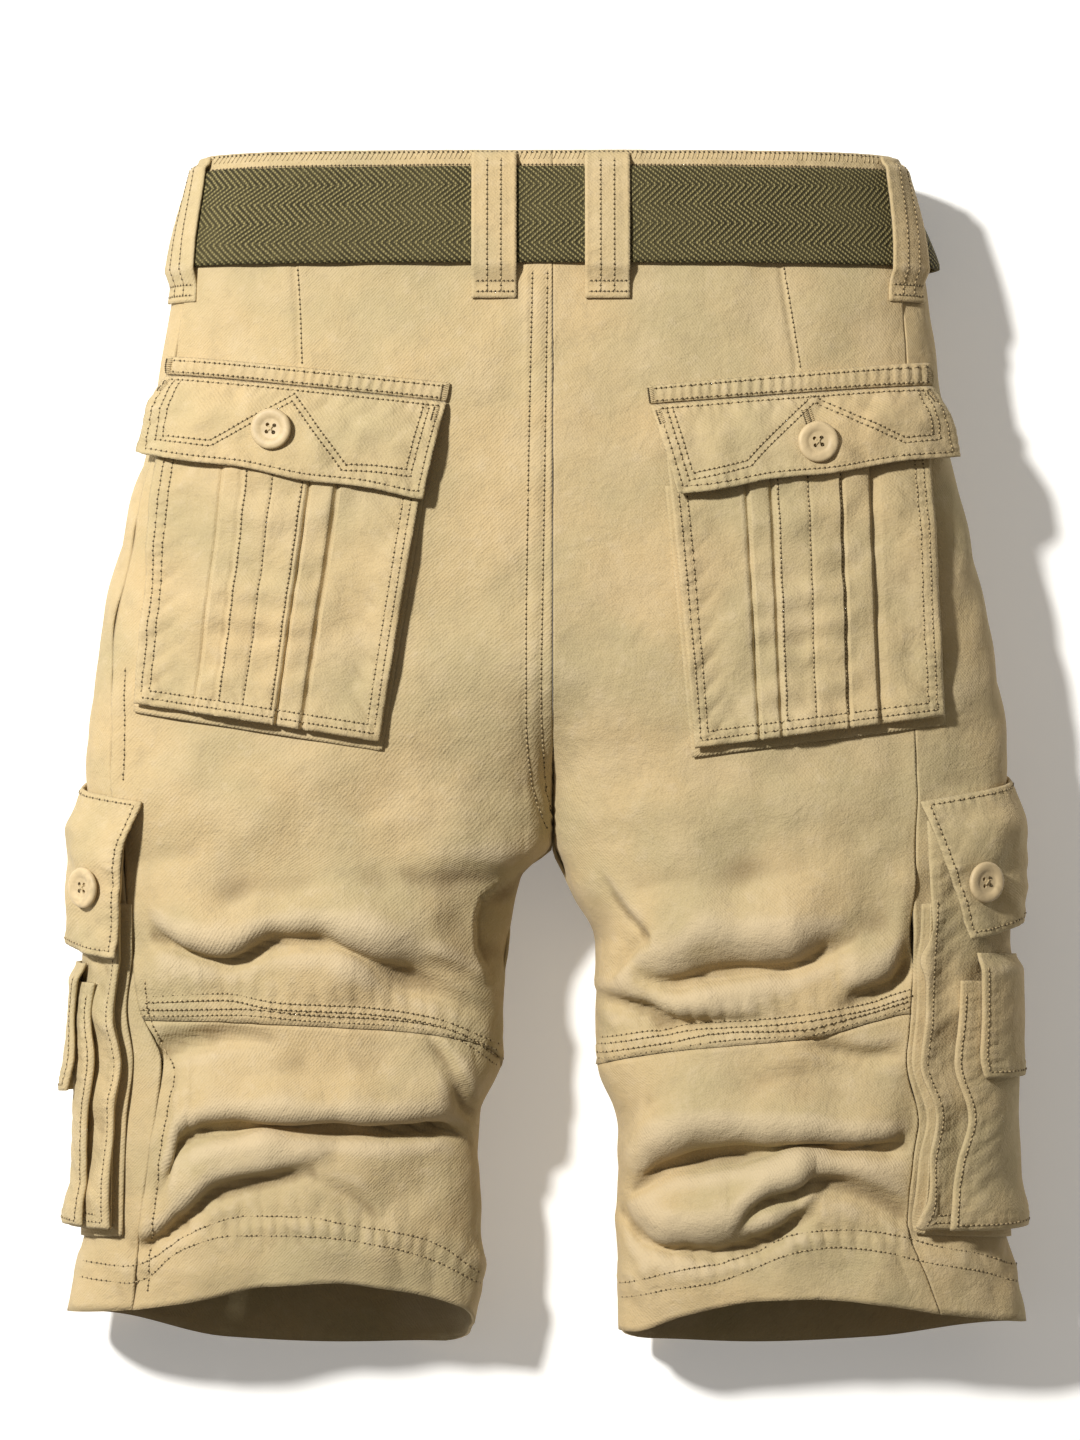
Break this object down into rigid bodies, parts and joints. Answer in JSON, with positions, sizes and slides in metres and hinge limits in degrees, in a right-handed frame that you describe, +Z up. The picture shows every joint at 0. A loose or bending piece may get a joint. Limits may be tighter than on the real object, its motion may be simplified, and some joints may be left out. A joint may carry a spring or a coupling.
{
  "type": "cargo shorts",
  "caption": "Cargo shorts in cotton twill with pleated flap pockets and a webbing belt, lying filled out on their front.",
  "frame": {"origin": "on the surface that the shorts lie on, below the middle of the bounding box", "axes": "+X to the right as seen from above with the waist away from the viewer, +Y towards the waist, +Z up out of the back of the shorts, which faces up"},
  "size_m": [0.4639, 0.5705, 0.1069],
  "materials": {
    "twill": "brushed cotton twill, khaki",
    "pocket_twill": "brushed cotton twill, khaki, double stitched",
    "webbing": "woven cotton webbing, olive",
    "button": "satin, marbled tan",
    "buckle": "brushed, darkened"
  },
  "bodies": {
    "root": {"back_button_left": "button", "back_button_right": "button", "back_face_left": "pocket_twill", "back_face_right": "pocket_twill", "back_flap_left": "pocket_twill", "back_flap_right": "pocket_twill", "back_gusset_left": "pocket_twill", "back_gusset_right": "pocket_twill", "back_left_lower": "twill", "back_left_upper": "twill", "back_right_lower": "twill", "back_right_upper": "twill", "back_welt_left": "pocket_twill", "back_welt_right": "pocket_twill", "belt": "webbing", "buckle": "buckle", "cargo_button_left": "button", "cargo_button_right": "button", "cargo_face_left": "pocket_twill", "cargo_face_right": "pocket_twill", "cargo_flap_left": "pocket_twill", "cargo_flap_right": "pocket_twill", "cargo_gusset_left": "pocket_twill", "cargo_gusset_right": "pocket_twill", "fly_facing": "twill", "front_left": "twill", "front_right": "twill", "loop_back_left": "twill", "loop_back_right": "twill", "loop_front_left": "twill", "loop_front_right": "twill", "loop_side_left": "twill", "loop_side_right": "twill", "small_flap_left": "pocket_twill", "small_flap_right": "pocket_twill", "small_pocket_left": "pocket_twill", "small_pocket_right": "pocket_twill", "waistband": "twill"}
  },
  "joints": []
}
